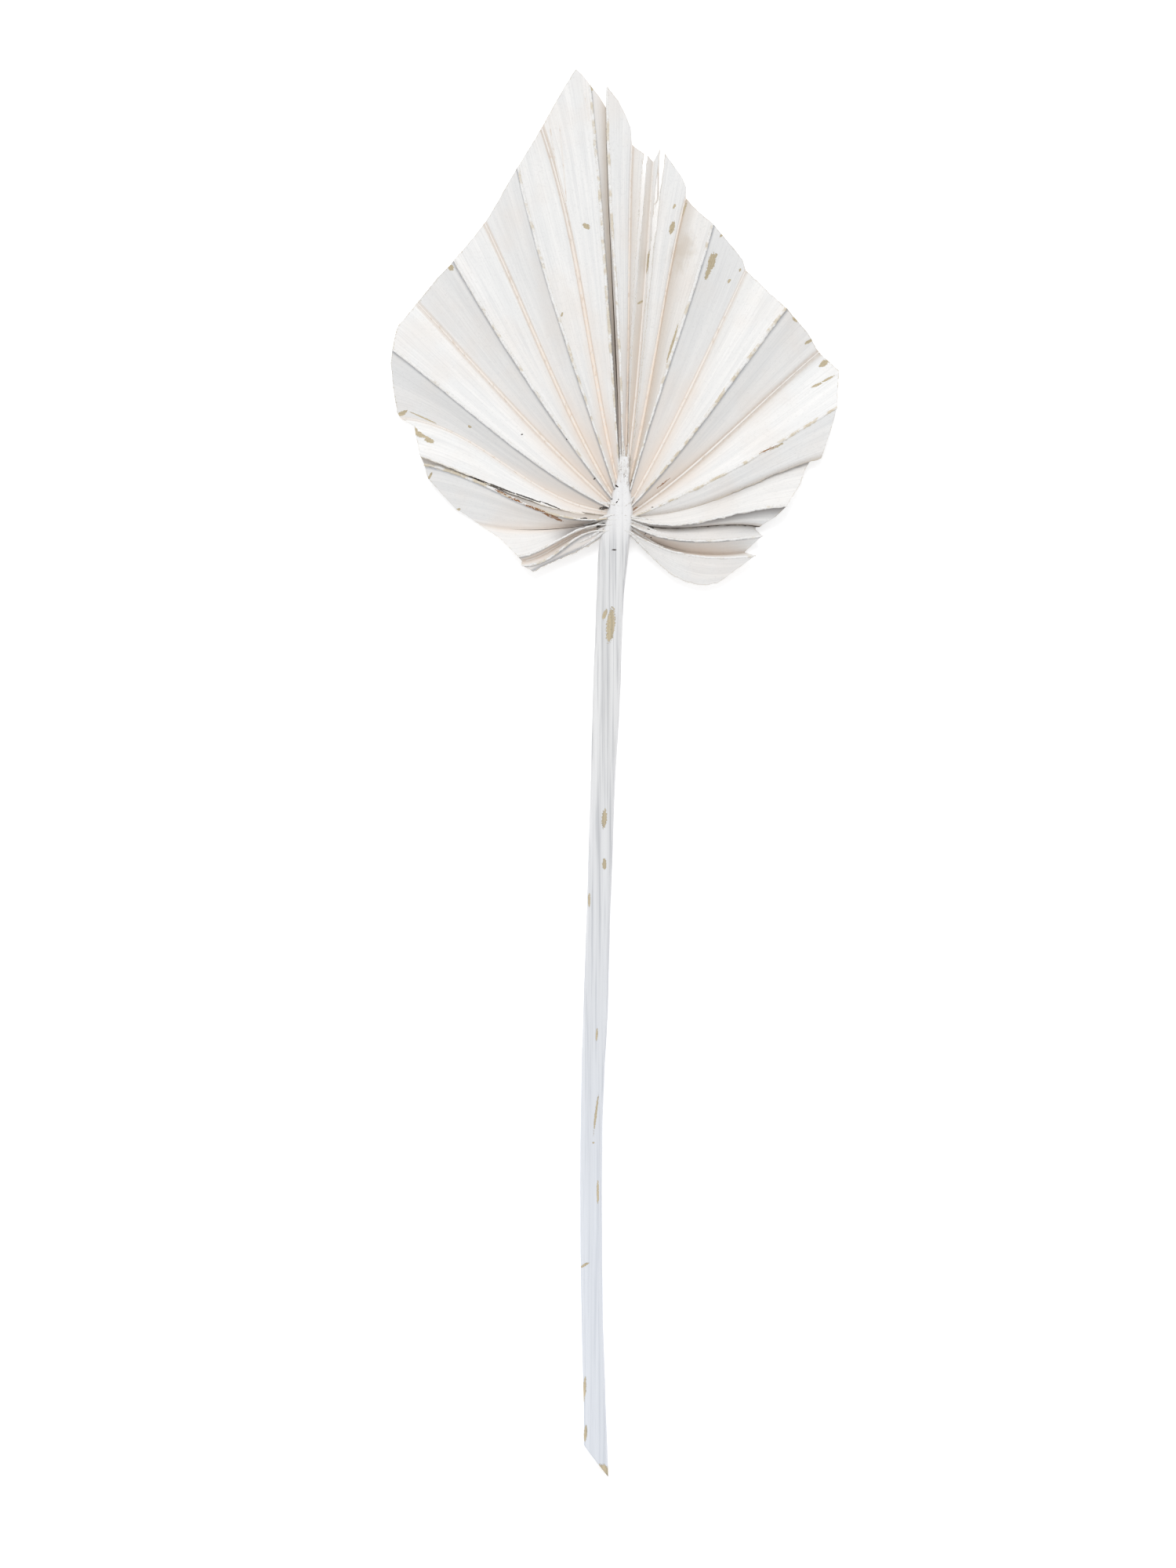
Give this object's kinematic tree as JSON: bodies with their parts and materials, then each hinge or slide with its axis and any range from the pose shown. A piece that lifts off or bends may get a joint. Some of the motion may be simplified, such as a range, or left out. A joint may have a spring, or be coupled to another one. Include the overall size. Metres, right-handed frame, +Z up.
{
  "type": "dried fan palm leaf",
  "caption": "Dried fan palm leaf, painted white and trimmed to a spade shape, with a pleated blade on a long stalk, lying face up.",
  "frame": {"origin": "centre of the bounding box on the surface that the leaf lies on", "axes": "+Y along the stalk towards the tip of the blade, +X to the right with the upper face towards the viewer, +Z up out of the surface"},
  "size_m": [0.1716, 0.5386, 0.0115],
  "materials": {
    "white_painted_leaf": "matt white paint over dried leaf, worn to tan at the crests and the cut margin"
  },
  "bodies": {
    "root": {"fan_palm_leaf": "white_painted_leaf"}
  },
  "joints": []
}
